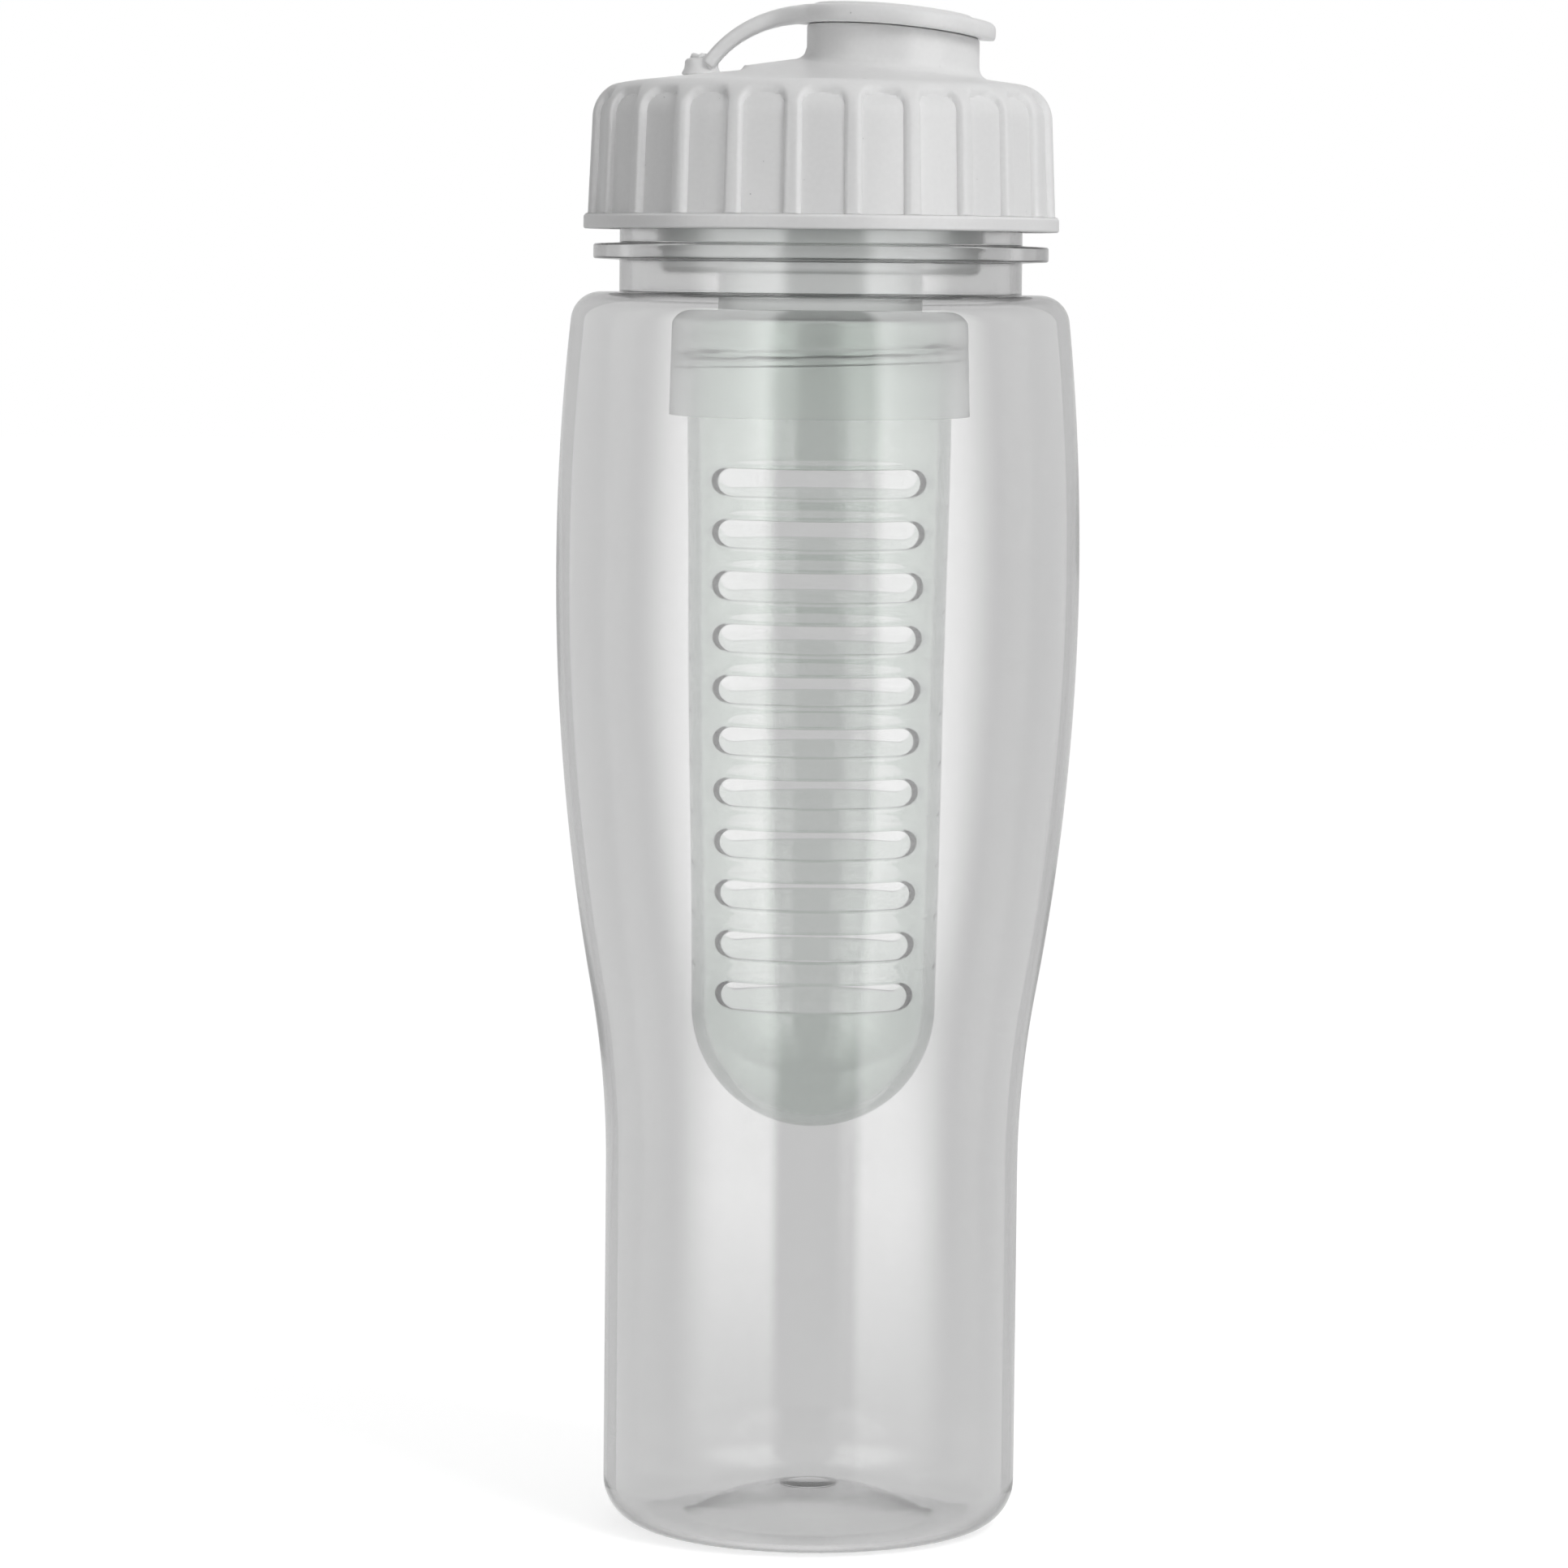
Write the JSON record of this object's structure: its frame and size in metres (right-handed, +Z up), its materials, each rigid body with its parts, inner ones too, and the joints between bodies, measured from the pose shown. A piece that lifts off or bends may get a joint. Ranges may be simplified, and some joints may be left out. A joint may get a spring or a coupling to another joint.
{
  "type": "fruit infuser water bottle",
  "caption": "Clear grip bottle with a ribbed screw lid, a flip cap on a strap over the drinking spout, and a slotted fruit basket that hangs from the lid by a frosted head.",
  "frame": {"origin": "middle of the foot ring, on the surface that the bottle stands on", "axes": "+Z up along the bottle's axis, +X towards the drinking spout, front at -Y"},
  "size_m": [0.078, 0.078, 0.2277],
  "materials": {
    "clear_bottle": "clear gloss",
    "gasket": "soft matte",
    "white_lid": "fine satin",
    "white_cap": "soft satin",
    "seal": "translucent",
    "frosted_head": "frosted",
    "clear_basket": "clear gloss"
  },
  "bodies": {
    "bottle": {"bottle_body": "clear_bottle"},
    "gasket": {"lid_gasket": "gasket"},
    "lid": {"screw_lid": "white_lid", "strap_anchor": "white_cap"},
    "cap": {"flip_cap": "white_cap"},
    "seal": {"infuser_seal": "seal"},
    "head": {"infuser_head": "frosted_head"},
    "basket": {"infuser_basket": "clear_basket"}
  },
  "joints": [
    {"name": "lid_rise", "type": "slide", "parent": "bottle", "child": "gasket", "axis": [0, 0, 1], "range_m": [0, 0.0059]},
    {"name": "lid_turn", "type": "hinge", "parent": "gasket", "child": "lid", "pos_m": [0, 0, 0.2], "axis": [0, 0, 1], "range_deg": [0, 468]},
    {"name": "flip_cap_lift", "type": "hinge", "parent": "lid", "child": "cap", "pos_m": [-0.01468, 0, 0.22273], "axis": [0, -1, 0], "range_deg": [0, 150]},
    {"name": "infuser_pull", "type": "slide", "parent": "lid", "child": "seal", "axis": [0, 0, -1], "range_m": [0, 0.012]},
    {"name": "head_turn", "type": "hinge", "parent": "seal", "child": "head", "pos_m": [0, 0, 0.18], "axis": [0, 0, 1], "range_deg": [0, 540]},
    {"name": "basket_drop", "type": "slide", "parent": "seal", "child": "basket", "axis": [0, 0, -1], "range_m": [0, 0.0049]}
  ],
  "couplings": [
    {"joint": "lid_rise", "follows": "lid_turn", "m_per_rad": 0.0007162},
    {"joint": "basket_drop", "follows": "head_turn", "m_per_rad": 0.0005093}
  ]
}
